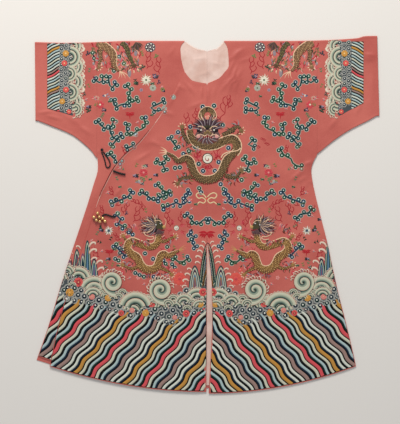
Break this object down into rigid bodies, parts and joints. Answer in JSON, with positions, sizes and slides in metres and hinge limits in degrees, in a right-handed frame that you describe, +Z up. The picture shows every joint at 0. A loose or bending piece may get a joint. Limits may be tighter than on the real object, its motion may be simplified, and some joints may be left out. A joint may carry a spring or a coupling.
{
  "type": "chinese dragon robe",
  "caption": "Side-fastening embroidered silk robe with short wide sleeves, a curved overlap and a centre vent, laid flat on its back.",
  "frame": {"origin": "middle of the underside of the robe's bounding box, on the surface it lies on", "axes": "+Z up off the surface, +Y towards the neck, +X towards the wearer's left sleeve"},
  "size_m": [1.2729, 1.3224, 0.0209],
  "materials": {
    "embroidered_silk": "salmon red silk satin, embroidered in coloured silks and gold thread",
    "back_silk": "salmon red silk satin",
    "lining_silk": "pale pink plain silk",
    "black_cord": "black silk cord",
    "gilt_brass": "gilt, worn"
  },
  "bodies": {
    "root": {"front_left": "embroidered_silk", "front_overlap": "embroidered_silk", "front_inner": "embroidered_silk", "back_left": "back_silk", "back_right": "back_silk", "back_lining_left": "lining_silk", "back_lining_right": "lining_silk", "sleeve_left": "embroidered_silk", "sleeve_right": "embroidered_silk", "loop_chest": "black_cord", "loop_chest_knot": "black_cord", "strap_chest": "black_cord", "strap_side": "black_cord", "button_side_1": "gilt_brass", "button_side_2": "gilt_brass", "button_side_3": "gilt_brass", "button_side_4": "gilt_brass", "button_side_5": "gilt_brass", "button_side_6": "gilt_brass", "button_side_7": "gilt_brass"}
  },
  "joints": []
}
